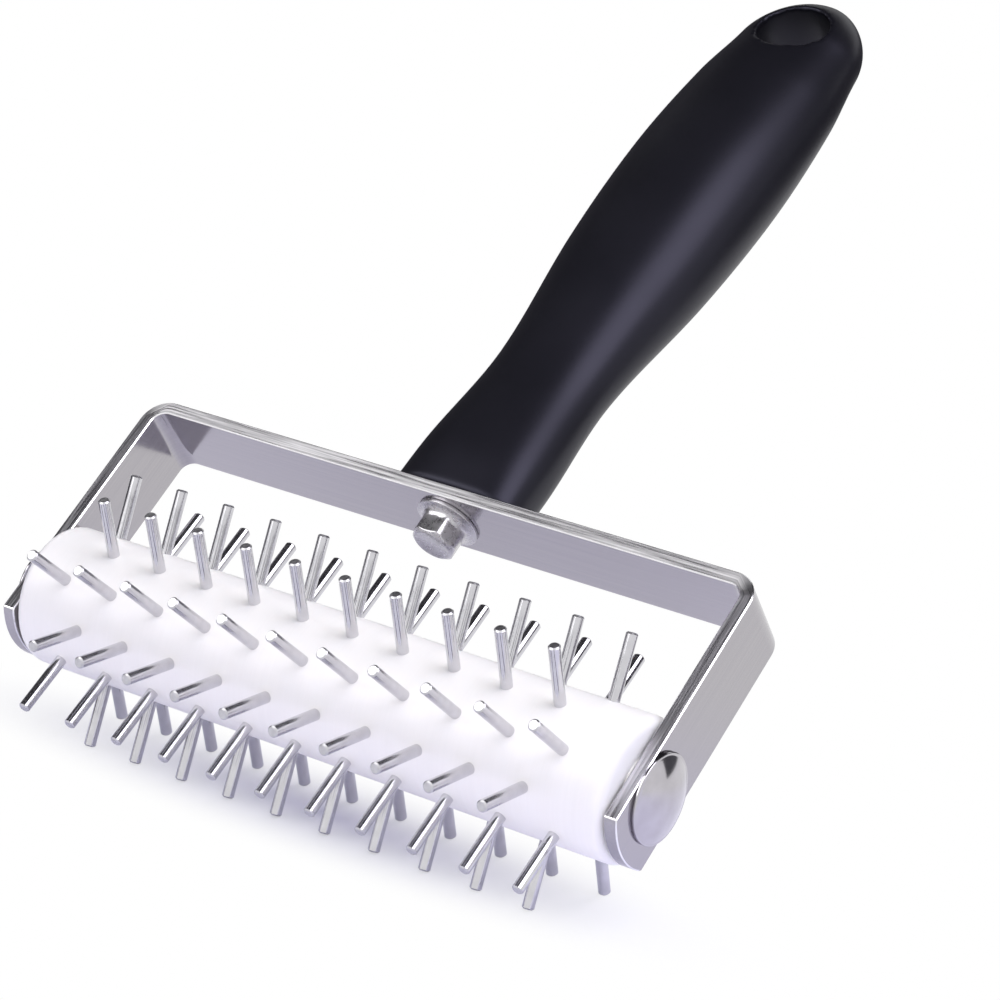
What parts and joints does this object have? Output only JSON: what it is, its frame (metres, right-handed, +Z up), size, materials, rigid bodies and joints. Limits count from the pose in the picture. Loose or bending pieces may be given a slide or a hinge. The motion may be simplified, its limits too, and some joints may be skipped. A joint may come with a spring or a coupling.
{
  "type": "dough docker",
  "caption": "Spiked roller for pricking dough: white plastic roller with 105 steel pins, turning on an axle in a bent steel yoke with a moulded black handle.",
  "frame": {"origin": "bottom centre of the part's box, with the part standing on two rows of its pins", "axes": "+X along the roller's axle, +Y the way the handle points, +Z up"},
  "size_m": [0.135, 0.1698, 0.1276],
  "materials": {
    "steel_strip": "brushed",
    "pin_steel": "polished",
    "white_plastic": "satin",
    "black_plastic": "satin",
    "brass": "machined"
  },
  "bodies": {
    "root": {"yoke": "steel_strip", "handle": "black_plastic", "handle_insert": "brass", "handle_bolt": "pin_steel", "axle": "steel_strip", "axle_cap_left": "steel_strip", "axle_cap_right": "steel_strip"},
    "roller": {"roller_body": "white_plastic", "pin_row_01": "pin_steel", "pin_row_02": "pin_steel", "pin_row_03": "pin_steel", "pin_row_04": "pin_steel", "pin_row_05": "pin_steel", "pin_row_06": "pin_steel", "pin_row_07": "pin_steel", "pin_row_08": "pin_steel", "pin_row_09": "pin_steel", "pin_row_10": "pin_steel"}
  },
  "joints": [
    {"name": "roller_spin", "type": "hinge", "parent": "root", "child": "roller", "pos_m": [0, -0.06076, 0.02315], "axis": [1, 0, 0], "continuous": true}
  ]
}
